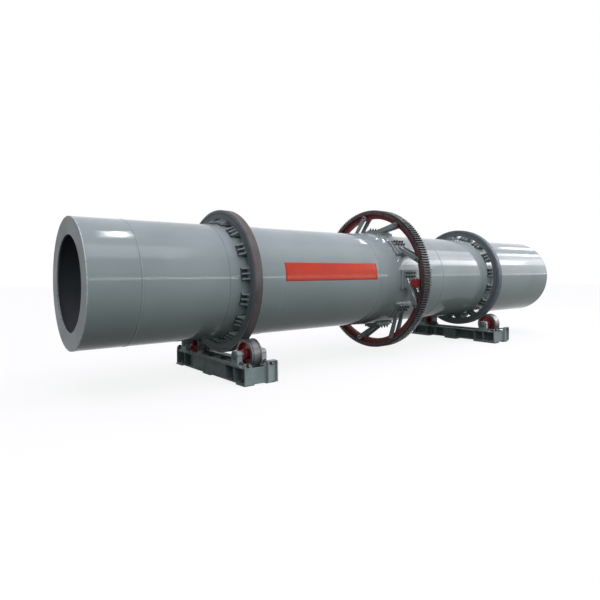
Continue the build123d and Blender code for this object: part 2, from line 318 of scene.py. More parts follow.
class Tree:
    """Nodes of a material or a world, with short ways to add and link them."""

    def __init__(self, tree: bpy.types.NodeTree) -> None:
        """Keep the nodes and links of a tree."""
        self.nodes, self.links = tree.nodes, tree.links

    def put(self, socket: bpy.types.NodeSocket, value: object) -> None:
        """Set a socket to a plain value or link another socket to it.

        Args:
            socket: The input to set.
            value: A number, a colour or another node's output.
        """
        if isinstance(value, bpy.types.NodeSocket):
            self.links.new(value, socket)
        elif isinstance(value, tuple) and len(value) == 3 and socket.type == "RGBA":
            socket.default_value = (*value, 1.0)
        else:
            socket.default_value = value

    def math(
        self, operation: str, first: object, second: object = 0.0, clamp: bool = False
    ) -> bpy.types.NodeSocket:
        """Add a Math node.

        Args:
            operation: Blender's name of the operation.
            first: A socket or a number.
            second: A socket or a number.
            clamp: Whether the result is held between 0 and 1.

        Returns:
            The result.
        """
        node = self.nodes.new("ShaderNodeMath")
        node.operation = operation
        node.use_clamp = clamp
        self.put(node.inputs[0], first)
        self.put(node.inputs[1], second)
        return node.outputs[0]

    def mix(self, share: object, first: object, second: object) -> bpy.types.NodeSocket:
        """Mix two colours.

        Args:
            share: How much of the second colour there is, from 0 to 1.
            first: A colour or a socket.
            second: A colour or a socket.

        Returns:
            The mixed colour.
        """
        node = self.nodes.new("ShaderNodeMix")
        node.data_type = "RGBA"
        self.put(node.inputs["Factor"], share)
        self.put(node.inputs[6], first)
        self.put(node.inputs[7], second)
        return node.outputs[2]

    def blend(
        self, share: object, first: bpy.types.NodeSocket, second: bpy.types.NodeSocket
    ) -> bpy.types.NodeSocket:
        """Mix two shaders.

        Args:
            share: How much of the second shader there is, from 0 to 1.
            first: A shader's output.
            second: A shader's output.

        Returns:
            The mixed shader.
        """
        node = self.nodes.new("ShaderNodeMixShader")
        for socket, value in zip(node.inputs, (share, first, second)):
            self.put(socket, value)
        return node.outputs[0]

    def coordinate(self, vector: bpy.types.NodeSocket, axis: str) -> bpy.types.NodeSocket:
        """Take one coordinate from a vector.

        Args:
            vector: The vector's socket.
            axis: X, Y or Z.

        Returns:
            The coordinate.
        """
        split = self.nodes.new("ShaderNodeSeparateXYZ")
        self.links.new(vector, split.inputs[0])
        return split.outputs[axis]

    def seen_white(self) -> bpy.types.NodeSocket:
        """Share that is 1 for camera, glossy and transmission rays, and else 0.

        Returns:
            The share.
        """
        path = self.nodes.new("ShaderNodeLightPath").outputs
        share = self.math("MAXIMUM", path["Is Camera Ray"], path["Is Glossy Ray"])
        return self.math("MAXIMUM", share, path["Is Transmission Ray"])


class Graph(Tree):
    """A material's nodes, with short ways to add the ones that the finishes use."""

    def __init__(self, name: str) -> None:
        """Start a material with one Principled shader.

        Args:
            name: The material's name.
        """
        self.material = bpy.data.materials.new(name)
        self.material.use_nodes = True
        super().__init__(self.material.node_tree)
        self.shader = self.nodes["Principled BSDF"]
        self.place = self.nodes.new("ShaderNodeTexCoord").outputs["Object"]

    def noise(
        self, scale: float, detail: float = 3.0, stretch: Point = (1.0, 1.0, 1.0)
    ) -> bpy.types.NodeSocket:
        """Add noise in object coordinates.

        Args:
            scale: Number of patches in a metre.
            detail: Number of finer layers.
            stretch: Factors on the three coordinates.

        Returns:
            The noise value, from 0 to 1.
        """
        mapping = self.nodes.new("ShaderNodeMapping")
        mapping.inputs["Scale"].default_value = stretch
        self.links.new(self.place, mapping.inputs["Vector"])
        node = self.nodes.new("ShaderNodeTexNoise")
        node.inputs["Scale"].default_value = scale
        node.inputs["Detail"].default_value = detail
        self.links.new(mapping.outputs["Vector"], node.inputs["Vector"])
        return node.outputs["Fac"]

    def spread(
        self, value: object, low: float, high: float, start: float = 0.0, end: float = 1.0
    ) -> bpy.types.NodeSocket:
        """Map a value from one range to another, clamped.

        Args:
            value: The socket to map.
            low: Value that gives the start.
            high: Value that gives the end.
            start: First result.
            end: Last result.

        Returns:
            The mapped value.
        """
        node = self.nodes.new("ShaderNodeMapRange")
        for socket, number in zip(node.inputs[:5], (value, low, high, start, end)):
            self.put(socket, number)
        return node.outputs["Result"]

    def radius(self, y: float = 0.0, z: float = AXIS.height) -> bpy.types.NodeSocket:
        """Distance from a line along X: the root of the squares of Y - y and Z - z.

        Args:
            y: Place of the line along Y.
            z: Height of the line.

        Returns:
            The distance.
        """
        across = self.math("SUBTRACT", self.coordinate(self.place, "Y"), y)
        up = self.math("SUBTRACT", self.coordinate(self.place, "Z"), z)
        square = self.math("ADD", self.math("POWER", across, 2.0), self.math("POWER", up, 2.0))
        return self.math("SQRT", square)

    def apart(self, value: bpy.types.NodeSocket, middle: float) -> bpy.types.NodeSocket:
        """How far a value is from a middle one, on either side."""
        return self.math("ABSOLUTE", self.math("SUBTRACT", value, middle))

    def band(self, height: float, half_width: float) -> bpy.types.NodeSocket:
        """Share that is 1 within a thin level band at a height.

        Args:
            height: Height of the band's middle.
            half_width: Half of the band's width.

        Returns:
            The share, from 0 to 1.
        """
        away = self.apart(self.coordinate(self.place, "Z"), height)
        return self.spread(away, half_width, half_width * 1.4, 1.0, 0.0)

    def bump(self, layers: Sequence[tuple[object, float]]) -> None:
        """Stack bump layers on the shader's normal.

        Args:
            layers: Pairs of height socket and depth in metres.
        """
        normal = None
        for height, depth in layers:
            node = self.nodes.new("ShaderNodeBump")
            node.inputs["Distance"].default_value = depth
            self.put(node.inputs["Height"], height)
            if normal is not None:
                self.links.new(normal, node.inputs["Normal"])
            normal = node.outputs["Normal"]
        self.links.new(normal, self.shader.inputs["Normal"])

    def finish(
        self, colour: object, roughness: object, metal: float = 0.0, specular: float = 0.5
    ) -> bpy.types.Material:
        """Set the shader's main inputs.

        Args:
            colour: Base colour, plain or linked.
            roughness: Roughness, plain or linked.
            metal: Share of metal.
            specular: Level of the mirror reflection, where 0.5 is common paint.

        Returns:
            The finished material.
        """
        self.put(self.shader.inputs["Base Color"], colour)
        self.put(self.shader.inputs["Roughness"], roughness)
        self.shader.inputs["Metallic"].default_value = metal
        self.shader.inputs["Specular IOR Level"].default_value = specular
        return self.material


class Finish:
    """A surface finish that makes its material once."""

    name = "finish"
    slot = "drum_paint"

    def material(self) -> bpy.types.Material:
        """Return this finish's material, made the first time it is asked for."""
        found = bpy.data.materials.get(self.name)
        return found if found else self.build()

    def build(self) -> bpy.types.Material:
        """Make the material."""
        raise NotImplementedError


@dataclass(frozen=True)
class DrumEnamel(Finish):
    """Glossy grey enamel over rolled plate, with a bare dark inside and painted shade in corners."""

    name: str = "drum_enamel"
    slot: str = "drum_paint"
    pale: Colour = (0.318, 0.358, 0.360)
    deep: Colour = (0.270, 0.310, 0.310)
    dust: Colour = (0.330, 0.335, 0.320)
    inside: Colour = (0.200, 0.200, 0.228)
    # Colour of the painted shade in recesses.
    pocket_shade: Colour = (0.040, 0.046, 0.046)
    # Pale colour of the painted edge highlights.
    worn: Colour = (0.560, 0.590, 0.620)
    inside_radius: float = 0.908
    pocket_shade_radius: float = 0.0
    highlight_radii: tuple[float, ...] = ()
    waviness: float = 0.007
    sheen_low: float = 0.06
    sheen_high: float = 0.11
    specular: float = 0.09

    def build(self) -> bpy.types.Material:
        """Make the material: cloudy paint outside, dusty dark steel inside.

        Returns:
            The material.
        """
        graph = Graph(self.name)
        clouds = graph.spread(graph.noise(0.9, 4.0), 0.35, 0.68)
        streaks = graph.spread(graph.noise(3.0, 5.0, (0.25, 1.0, 1.0)), 0.40, 0.75)
        specks = graph.spread(graph.noise(38.0, 4.0), 0.60, 0.80, 0.0, 0.35)
        paint = graph.mix(clouds, self.pale, self.deep)
        paint = graph.mix(graph.math("MULTIPLY", streaks, 0.30), paint, self.deep)
        paint = graph.mix(specks, paint, self.dust)
        within = graph.spread(graph.radius(), self.inside_radius, self.inside_radius + 0.001, 1.0, 0.0)
        # Painted shade: surfaces nearer the axis than the given radius turn dark, for the shade in the
        # pockets of the shoes.
        if self.pocket_shade_radius:
            low = graph.spread(graph.radius(), self.pocket_shade_radius, self.pocket_shade_radius + 0.004, 0.85, 0.0)
            paint = graph.mix(low, paint, self.pocket_shade)
        # Painted highlights: thin pale rings with ragged edges at the given radii, standing in for light
        # caught by the edges of the end rings.
        for radius in self.highlight_radii:
            away = graph.apart(graph.radius(), radius)
            ragged = graph.math("ADD", away, graph.spread(graph.noise(20.0, 3.0), 0.3, 0.7, -0.004, 0.006))
            paint = graph.mix(graph.spread(ragged, 0.004, 0.008, 0.8, 0.0), paint, self.worn)
        colour = graph.mix(within, paint, self.inside)
        gloss = graph.spread(graph.noise(2.2, 3.0), 0.3, 0.7, self.sheen_low, self.sheen_high)
        scuffed = graph.math("ADD", gloss, graph.math("MULTIPLY", specks, 0.3))
        rough = graph.math("MAXIMUM", scuffed, graph.math("MULTIPLY", within, 0.85))
        graph.bump(
            [
                (graph.noise(1.1, 1.0, (0.6, 1.0, 1.0)), self.waviness),
                (graph.noise(5.0, 2.0), 0.0011),
                (graph.noise(260.0, 1.0), 0.00010),
            ]
        )
        return graph.finish(colour, rough, specular=self.specular)


BEAD_PAINT = DrumEnamel(name="bead_enamel")


@dataclass(frozen=True)
class StationEnamel(Finish):
    """The same grey on welded frames and castings, but dusty, stained and chipped."""

    name: str = "station_enamel"
    slot: str = "frame_paint"
    pale: Colour = (0.235, 0.280, 0.280)
    deep: Colour = (0.145, 0.182, 0.178)
    dust: Colour = (0.330, 0.325, 0.300)
    rust: Colour = (0.120, 0.075, 0.052)
    split_height: float = -1.0
    specular: float = 0.10

    def build(self) -> bpy.types.Material:
        """Make the material: uneven paint, dust on what faces up, rust spots, cast grain.

        Returns:
            The material.
        """
        graph = Graph(self.name)
        clouds = graph.spread(graph.noise(4.0, 5.0), 0.35, 0.7)
        runs = graph.spread(graph.noise(12.0, 4.0, (1.0, 1.0, 0.15)), 0.45, 0.75, 0.0, 0.5)
        paint = graph.mix(graph.math("MAXIMUM", clouds, runs), self.pale, self.deep)
        normal = graph.nodes.new("ShaderNodeNewGeometry").outputs["Normal"]
        up = graph.spread(graph.coordinate(normal, "Z"), 0.6, 1.0)
        dusty = graph.math("MULTIPLY", up, graph.spread(graph.noise(9.0, 4.0), 0.35, 0.7, 0.1, 0.6))
        colour = graph.mix(dusty, paint, self.dust)
        rusty = graph.spread(graph.noise(22.0, 6.0), 0.68, 0.76, 0.0, 0.8)
        colour = graph.mix(rusty, colour, self.rust)
        joint = graph.band(self.split_height, 0.0025)
        colour = graph.mix(joint, colour, self.rust)
        rough = graph.spread(graph.noise(12.0, 3.0), 0.3, 0.7, 0.42, 0.62)
        graph.bump([(graph.noise(14.0, 3.0), 0.0012), (graph.noise(150.0, 2.0), 0.0003),
                    (graph.math("SUBTRACT", 1.0, joint), 0.003)])
        return graph.finish(colour, rough, specular=self.specular)


# Paler copies of the station enamel, as painted light: they make the end plates, stops and bearing housings
# look more brightly lit.
END_PLATE_LIT_PAINT = StationEnamel(name="end_plate_lit_enamel", pale=(0.330, 0.385, 0.390),
                                deep=(0.235, 0.285, 0.285))
STOP_LIT_PAINT = StationEnamel(name="stop_lit_enamel", pale=(0.430, 0.490, 0.485), deep=(0.320, 0.370, 0.365))
HOUSING_LIT_PAINT = StationEnamel(name="housing_lit_enamel", slot="housing_paint", pale=(0.420, 0.480, 0.480),
                              deep=(0.300, 0.350, 0.345))


@dataclass(frozen=True)
class TyreSteel(Finish):
    """Forged tyre: a rolled brown-grey tread, a worn edge, and grey painted faces."""

    name: str = "tyre_forging"
    slot: str = "tyre_steel"
    tread: Colour = (0.122, 0.108, 0.110)
    rust: Colour = (0.084, 0.062, 0.058)
    face: Colour = (0.150, 0.175, 0.180)
    edge: Colour = (0.250, 0.275, 0.290)
    # Colour of a painted shadow ring on the faces.
    line: Colour = (0.030, 0.033, 0.034)
    tread_radius: float = 1.1575
    edge_radius: float = 1.108
    specular: float = 0.15

    def build(self) -> bpy.types.Material:
        """Make the material from bands by radius.

        Returns:
            The material.
        """
        graph = Graph(self.name)
        radius = graph.radius()
        patches = graph.spread(graph.noise(4.0, 5.0, (2.0, 1.0, 1.0)), 0.40, 0.70)
        tracks = graph.spread(graph.noise(26.0, 2.0, (1.0, 0.03, 0.03)), 0.35, 0.65, 0.0, 0.5)
        tread = graph.mix(graph.math("MAXIMUM", patches, tracks), self.tread, self.rust)
        bright = graph.spread(graph.noise(30.0, 3.0, (6.0, 1.0, 1.0)), 0.3, 0.8, 0.2, 0.8)
        ring = graph.spread(radius, self.edge_radius, self.edge_radius + 0.004)
        face = graph.mix(graph.math("MULTIPLY", ring, bright), self.face, self.edge)
        # Painted shadow: a thin dark ring on the face at the edge radius.
        step = graph.apart(radius, self.edge_radius)
        face = graph.mix(graph.spread(step, 0.003, 0.007, 0.9, 0.0), face, self.line)
        on_tread = graph.spread(radius, self.tread_radius - 0.008, self.tread_radius - 0.004)
        colour = graph.mix(on_tread, face, tread)
        rough = graph.spread(graph.noise(16.0, 4.0), 0.3, 0.7, 0.42, 0.60)
        graph.bump(
            [
                (graph.noise(9.0, 3.0), 0.0010),
                (graph.noise(60.0, 2.0, (14.0, 1.0, 1.0)), 0.0004),
            ]
        )
        return graph.finish(colour, rough, specular=self.specular)


@dataclass(frozen=True)
class GearCasting(Finish):
    """Cast gear: greased dark teeth, a brown rim, a dark red web and bright red joint lugs."""

    name: str = "gear_casting"
    slot: str = "gear_steel"
    teeth: Colour = (0.042, 0.042, 0.045)
    tip: Colour = (0.110, 0.112, 0.122)
    rim: Colour = (0.130, 0.078, 0.068)
    web: Colour = (0.250, 0.036, 0.042)
    lug: Colour = (0.560, 0.036, 0.024)
    grease: Colour = (0.022, 0.020, 0.019)
    tip_radius: float = 1.424
    rim_radius: float = 1.392
    web_radius: float = 1.342
    lug_radius: float = 1.246
    specular: float = 0.20

    def build(self) -> bpy.types.Material:
        """Make the material from bands by radius, blotched with grease and rust.

        Returns:
            The material.
        """
        graph = Graph(self.name)
        radius = graph.radius()
        blotch = graph.spread(graph.noise(7.0, 5.0), 0.38, 0.66)
        red = graph.mix(graph.spread(radius, self.lug_radius, self.lug_radius + 0.004), self.lug, self.web)
        red = graph.mix(graph.math("MULTIPLY", blotch, 0.35), red, self.rim)
        rim = graph.mix(blotch, self.rim, self.teeth)
        body = graph.mix(graph.spread(radius, self.web_radius - 0.003, self.web_radius), red, rim)
        greased = graph.spread(graph.noise(30.0, 4.0), 0.42, 0.70, 0.0, 0.85)
        worn = graph.spread(radius, self.tip_radius - 0.008, self.tip_radius - 0.002, 0.0, 0.9)
        depth = graph.spread(radius, self.rim_radius, self.tip_radius - 0.010)
        teeth = graph.mix(worn, graph.mix(depth, self.grease, self.teeth), self.tip)
        teeth = graph.mix(greased, teeth, self.grease)
        colour = graph.mix(graph.spread(radius, self.rim_radius - 0.006, self.rim_radius), body, teeth)
        rough = graph.spread(graph.noise(18.0, 4.0), 0.3, 0.7, 0.30, 0.58)
        graph.bump([(graph.noise(16.0, 4.0), 0.0014), (graph.noise(110.0, 2.0), 0.0004)])
        return graph.finish(colour, rough, specular=self.specular)


@dataclass(frozen=True)
class RollerSteel(Finish):
    """Turned roller: a stained tread with a polished track between two grooves, and a red web."""

    name: str = "roller_steel_right"
    slot: str = "roller_steel"
    tread: Colour = (0.105, 0.113, 0.110)
    track: Colour = (0.130, 0.132, 0.142)
    stain: Colour = (0.095, 0.060, 0.050)
    groove: Colour = (0.022, 0.030, 0.032)
    web: Colour = (0.370, 0.042, 0.048)
    soot: Colour = (0.140, 0.026, 0.027)
    rim_radius: float = 0.187
    tread_radius: float = 0.222
    groove_offset: float = 0.058
    track_half: float = 0.048
    x: float = 0.0
    y: float = -0.8663
    z: float = 0.4149
    metal: float = 0.25

    def build(self) -> bpy.types.Material:
        """Make the material about this roller's own axis.

        Returns:
            The material.
        """
        graph = Graph(self.name)
        radius = graph.radius(self.y, self.z)
        along = graph.apart(graph.coordinate(graph.place, "X"), self.x)
        stains = graph.spread(graph.noise(6.0, 4.0, (1.6, 1.0, 1.0)), 0.46, 0.66)
        rings = graph.noise(40.0, 3.0, (3.0, 0.02, 0.02))
        steel = graph.mix(graph.math("MULTIPLY", stains, 0.85), self.tread, self.stain)
        steel = graph.mix(graph.spread(rings, 0.45, 0.7, 0.0, 0.35), steel, self.stain)
        on_tread = graph.spread(radius, self.tread_radius, self.tread_radius + 0.002)
        inner = graph.spread(along, self.track_half - 0.006, self.track_half, 1.0, 0.0)
        worn = graph.spread(graph.noise(7.0, 3.0, (0.5, 1.0, 1.0)), 0.42, 0.60, 0.25, 0.95)
        polished = graph.math("MULTIPLY", graph.math("MULTIPLY", inner, on_tread), worn)
        steel = graph.mix(polished, steel, self.track)
        offset = graph.apart(along, self.groove_offset)
        cut = graph.math("MULTIPLY", graph.spread(offset, 0.007, 0.009, 1.0, 0.0), on_tread)
        steel = graph.mix(cut, steel, self.groove)
        red = graph.mix(graph.spread(graph.noise(9.0, 4.0), 0.4, 0.7, 0.0, 0.8), self.web, self.soot)
        outer = graph.spread(radius, self.rim_radius - 0.002, self.rim_radius)
        colour = graph.mix(outer, red, steel)
        rough = graph.spread(graph.noise(20.0, 3.0), 0.3, 0.7, 0.30, 0.48)
        graph.bump([(rings, 0.0006), (graph.noise(14.0, 3.0), 0.0006),
                    (graph.math("SUBTRACT", 1.0, cut), 0.004)])
        return graph.finish(colour, rough, metal=self.metal)


@dataclass(frozen=True)
class BrightSteel(Finish):
    """Bare machined steel of shafts, pins, studs and nuts, with tool marks."""

    name: str = "bright_steel"
    slot: str = "shaft_steel"
    pale: Colour = (0.300, 0.300, 0.300)
    deep: Colour = (0.160, 0.150, 0.142)
    metal: float = 0.35

    def build(self) -> bpy.types.Material:
        """Make the material: steel with light staining.

        Returns:
            The material.
        """
        graph = Graph(self.name)
        stain = graph.spread(graph.noise(24.0, 4.0), 0.40, 0.72)
        colour = graph.mix(stain, self.pale, self.deep)
        graph.bump([(graph.noise(220.0, 2.0, (1.0, 1.0, 0.2)), 0.0002)])
        return graph.finish(colour, graph.spread(stain, 0.0, 1.0, 0.42, 0.58), metal=self.metal)


@dataclass(frozen=True)
class BoltBlack(Finish):
    """Dark oiled steel of bolts and nuts."""

    name: str = "bolt_black"
    slot: str = "bracket_paint"
    pale: Colour = (0.075, 0.078, 0.082)
    deep: Colour = (0.024, 0.024, 0.026)
    sheen: float = 0.38
    metal: float = 0.3

    def build(self) -> bpy.types.Material:
        """Make the material: oiled steel with a few rubbed spots.

        Returns:
            The material.
        """
        graph = Graph(self.name)
        rubbed = graph.spread(graph.noise(45.0, 4.0), 0.4, 0.7)
        graph.bump([(graph.noise(180.0, 2.0), 0.0003)])
        return graph.finish(graph.mix(rubbed, self.deep, self.pale), self.sheen, metal=self.metal)


@dataclass(frozen=True)
class BandRed(Finish):
    """Glossy orange-red of the painted name band, left bare."""

    name: str = "band_red"
    slot: str = "drum_paint"
    bright: Colour = (0.650, 0.056, 0.028)
    faded: Colour = (0.550, 0.046, 0.028)
    specular: float = 0.08

    def build(self) -> bpy.types.Material:
        """Make the material: a stuck-on film with slight fading and ripples.

        Returns:
            The material.
        """
        graph = Graph(self.name)
        fade = graph.spread(graph.noise(2.5, 4.0), 0.35, 0.7)
        graph.bump([(graph.noise(6.0, 2.0, (0.5, 1.0, 1.0)), 0.0012), (graph.noise(300.0, 2.0), 0.0001)])
        colour = graph.mix(fade, self.bright, self.faded)
        rough = graph.spread(fade, 0.0, 1.0, 0.18, 0.28)
        return graph.finish(colour, rough, specular=self.specular)


# Pieces


def add_piece(name: str, surface: Surface, body: str, finish: Finish) -> bpy.types.Object:
    """Make an object from a surface, dress it and let it ride on a body.

    Args:
        name: The piece's name.
        surface: Its points and faces in the machine's frame.
        body: The solid model's body that it moves with.
        finish: Its finish.

    Returns:
        The new object.
    """
    mesh = bpy.data.meshes.new(name)
    mesh.vertices.add(len(surface.points))
    mesh.vertices.foreach_set("co", surface.points.astype(np.float32).ravel())
    mesh.loops.add(surface.faces.size)
    mesh.loops.foreach_set("vertex_index", surface.faces.astype(np.int32).ravel())
    mesh.polygons.add(len(surface.faces))
    mesh.polygons.foreach_set("loop_start", np.arange(len(surface.faces), dtype=np.int32) * 4)
    mesh.update(calc_edges=True)
    merged = bmesh.new()
    merged.from_mesh(mesh)
    bmesh.ops.remove_doubles(merged, verts=merged.verts, dist=MERGE_DISTANCE)
    bmesh.ops.recalc_face_normals(merged, faces=merged.faces)
    merged.to_mesh(mesh)
    merged.free()
    mesh.shade_smooth()
    mesh.set_sharp_from_angle(angle=np.radians(SHARP_ANGLE))
    piece = bpy.data.objects.new(name, mesh)
    bpy.context.scene.collection.objects.link(piece)
    mesh.materials.append(finish.material())
    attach(piece, body)
    LOG.info("%s: %d faces on %s", name, len(mesh.polygons), body)
    return piece


def dress(node: str, finish: Finish) -> None:
    """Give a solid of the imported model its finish.

    Args:
        node: The solid's name.
        finish: Its finish.
    """
    for material_slot in bpy.data.objects[node].material_slots:
        material_slot.material = finish.material()
    LOG.info("%s: %s", node, finish.name)


@dataclass(frozen=True)
class Bolt:
    """A hexagonal head, or a nut on the end of a stud, that stands on local z = 0.

    Attributes:
        across: Width across the corners of the hexagon.
        height: Height of the hexagon.
        washer: Thickness of the washer under it, or 0 for none.
        stud: Height of the stud's end above the seat, or 0 for a plain head.
    """

    across: float
    height: float
    washer: float = 0.0
    stud: float = 0.0

    def surface(self) -> Surface:
        """Turn profiles about z: the head in 6 steps, its washer in 16 and its stud in 10.

        The head narrows over the last 0.14 of its height. The washer is 1.18 times as wide,
        and the stud's radius is 0.27 of the head's width.

        Returns:
            The surface.
        """
        corner, seat = self.across / 2, self.washer
        head = [(0, seat), (corner, seat), (corner, seat + 0.86 * self.height)]
        head += [(0.84 * corner, seat + self.height), (0, seat + self.height)]
        shapes = [turned(head, 6)]
        if seat:
            shapes.append(turned([(0, 0), (1.18 * corner, 0), (1.18 * corner, seat), (0, seat)], 16))
        if self.stud:
            radius, foot = 0.27 * self.across, 0.5 * self.height
            rod = [(0, foot), (radius, foot), (radius, self.stud - 0.2 * radius)]
            rod += [(0.8 * radius, self.stud), (0, self.stud)]
            shapes.append(turned(rod, 10))
        return joined(shapes)


SHOE_BOLT = Bolt(0.032, 0.016, washer=0.003)
PIN_BOLT = Bolt(0.036, 0.014, washer=0.004)
JOINT_BOLT = Bolt(0.050, 0.024, washer=0.004)
COVER_BOLT = Bolt(0.015, 0.008)
ADJUSTING_NUT = Bolt(0.062, 0.026, washer=0.005)
BRACKET_STUD = Bolt(0.044, 0.020, washer=0.00240, stud=0.045)
HOUSING_STUD = Bolt(0.048, 0.024, washer=0.00288, stud=0.046)
ANCHOR_STUD = Bolt(0.050, 0.026, washer=0.00312, stud=0.060)
# Radii and heights of a grease nipple: its hexagon, neck and ball.
NIPPLE_PROFILE = (
    (0.0, 0.0), (0.010, 0.0), (0.010, 0.008), (0.005, 0.010), (0.005, 0.020), (0.008, 0.022),
    (0.006, 0.029), (0.0, 0.030),
)


def weld_ring(x: float, radius: float, width: float, height: float) -> Surface:
    """Weld bead round the drum: a low arch whose height ripples with the angle.

    A point at angle a and share s across the bead lies at x + width (s - 1/2) and at the
    radius plus height sin(pi s) (1 + ripple cos(n a)) for n ripples in a turn, less a little
    so that its edges sink in.

    Args:
        x: Place along the drum.
        radius: Radius of the plate.
        width: Width of the bead.
        height: Height of the bead.

    Returns:
        The bead's surface.
    """
    steps, steps_in_ripple, ripple, sunk = 480, 5, 0.22, 0.0005
    share = np.linspace(0, 1, 7)
    angle = np.arange(steps) * 360 / steps
    swell = 1 + ripple * np.cos(np.radians(angle) * steps / steps_in_ripple)
    rise = np.sin(np.pi * share)[:, None] * swell[None] * height - sunk
    points = AXIS.place((x + width * (share - 0.5))[:, None], radius + rise, angle[None])
    return Surface(points.reshape(-1, 3), grid_faces(len(share), steps, wrap=True))


# Sub-assemblies


@dataclass
class Drum:
    """The rolled drum: shell courses, end rings, weld seams and the bare name band."""

    courses: tuple[str, ...] = (
        "feed_shell_course", "feed_tyre_course", "middle_shell_course", "gear_shell_course",
        "rear_shell_course", "discharge_tyre_course", "discharge_shell_course",
    )
    radius: float = 0.915
    bead_width: float = 0.024
    bead_height: float = 0.0050
    bead_lift: float = 0.0005
    rim_bead_width: float = 0.012
    rim_bead_height: float = 0.0022
    rim_bead_lift: float = 0.0002
    plate_seams: tuple[float, ...] = (-5.215, 1.25)
    opening_radius: float = 0.669
    band_start: float = -2.900
    band_end: float = -0.790
    band_low: float = 0.3
    band_high: float = 19.4
    band_lift: float = 0.0012
    band_thickness: float = 0.0015

    def dress(self) -> None:
        """Paint every course, and both end rings down to their openings."""
        for name in self.courses:
            dress(name, DrumEnamel())
        # Both end rings get painted highlights at the edge of the opening and at the outer edge.
        highlit_ring_paint = DrumEnamel(name="end_ring_highlit_enamel", inside_radius=self.opening_radius - 0.001,
                                highlight_radii=(self.opening_radius + 0.002, self.radius - 0.002),
                                sheen_low=0.30, sheen_high=0.45)
        for name in ("feed_end_ring", "discharge_end_ring"):
            dress(name, highlit_ring_paint)

    def seams(self) -> None:
        """Lay a weld bead over each joint between two courses, and round both end rings."""
        joints = [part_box(name)[1].x for name in self.courses[:-1]]
        places = [*joints, *self.plate_seams]
        base = self.radius + self.bead_lift
        beads = [weld_ring(x, base, self.bead_width, self.bead_height) for x in places]
        add_piece("shell_weld_seams", joined(beads), "drum", BEAD_PAINT)
        rims = []
        for name in ("feed_end_ring", "discharge_end_ring"):
            low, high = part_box(name)
            inner = high.x if name == "feed_end_ring" else low.x
            base = self.radius + self.rim_bead_lift
            rims.append(weld_ring(inner, base, self.rim_bead_width, self.rim_bead_height))
        add_piece("end_ring_welds", joined(rims), "drum", BEAD_PAINT)

    def band(self) -> None:
        """Lay the name band on the shell: the radius plus the lift, over a range of x and angle."""
        along = np.linspace(self.band_start, self.band_end, 60)
        angle = np.linspace(self.band_low, self.band_high, 24)
        outer = AXIS.place(along[:, None], self.radius + self.band_lift, angle[None])
        faces = grid_faces(len(along), len(angle), wrap=False)
        band = add_piece("name_band", Surface(outer.reshape(-1, 3), faces), "drum", BandRed())
        wall = band.modifiers.new("film", "SOLIDIFY")
        wall.thickness = self.band_thickness
        wall.offset = 0.0

    def build(self) -> None:
        """Build and dress the drum."""
        self.dress()
        self.seams()
        self.band()


@dataclass
class TyreRing:
    """One tyre with its shoes, their welds and the bolts in their pockets."""

    station: Station
    shoe_count: int = 16
    first_angle: float = 7.5
    shoe_half_width: float = 0.089
    shell_radius: float = 0.923
    plate_top: float = 0.947
    pocket_offset: float = 0.039
    bolt_depth: float = 0.36
    weld_radius: float = 0.008
    discharge_tread: Colour = (0.080, 0.115, 0.165)
    discharge_stain: Colour = (0.068, 0.070, 0.080)

    def node(self, name: str) -> str:
        """Full name of one of this tyre's solids."""
        return f"{self.station.value}_{name}"

    def angles(self) -> np.ndarray:
        """Angles of the shoes."""
        return self.first_angle + np.arange(self.shoe_count) * 360 / self.shoe_count

    def sides(self) -> list[tuple[float, float]]:
        """Find where the shoes of each side end and where they meet the tyre.

        Returns:
            For each side, the places of the shoes' outer ends and of the tyre's face.
        """
        tyre_low, tyre_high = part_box(self.node("tyre"))
        shoe_low, shoe_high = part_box(self.node("tyre_shoes"))
        return [(shoe_low.x, tyre_low.x), (shoe_high.x, tyre_high.x)]

    def steel(self) -> Finish:
        """Choose the tyre's finish, browner at the feed end and bluer at the discharge end.

        Returns:
            The finish.
        """
        if self.station is Station.FEED:
            return TyreSteel()
        return TyreSteel(name="discharge_tyre_forging", tread=self.discharge_tread,
                         rust=self.discharge_stain)

    def bolts(self) -> None:
        """Set one bolt in each pocket of the shoes, square to its floor."""
        bolt = SHOE_BOLT.surface()
        rows = []
        for end, face in self.sides():
            for step in (-self.pocket_offset, self.pocket_offset):
                place = AXIS.frames(end + self.bolt_depth * (face - end), self.plate_top, self.angles())
                place.origins = place.origins + place.axes[:, 1] * step
                rows.append(repeated(bolt, place))
        add_piece(self.node("shoe_bolts"), joined(rows), "drum", BoltBlack())

    def welds(self) -> None:
        """Run weld beads on the shell along the two flanks and the outer end of each shoe."""
        beads = []
        flank = np.degrees(np.arcsin(self.shoe_half_width / self.shell_radius))
        for end, face in self.sides():
            for shoe in self.angles():
                first = AXIS.place(np.linspace(end, face, 9), self.shell_radius, shoe - flank)
                second = AXIS.place(np.linspace(end, face, 9), self.shell_radius, shoe + flank)
                across = AXIS.place(end, self.shell_radius, shoe + np.linspace(-flank, flank, 9))
                beads.append(swept(np.stack([first, second, across]), self.weld_radius, ripple=0.15))
        add_piece(self.node("shoe_welds"), joined(beads), "drum", BEAD_PAINT)

    def build(self) -> None:
        """Dress the tyre and shoes, and add their bolts and welds."""
        dress(self.node("tyre"), self.steel())
        # The shoes' paint has painted shade in the pockets below the plate top.
        shoe_paint = DrumEnamel(name="shoe_enamel", slot="bracket_paint", waviness=0.001,
                                pocket_shade_radius=self.plate_top + 0.002)
        dress(self.node("tyre_shoes"), shoe_paint)
        self.bolts()
        self.welds()


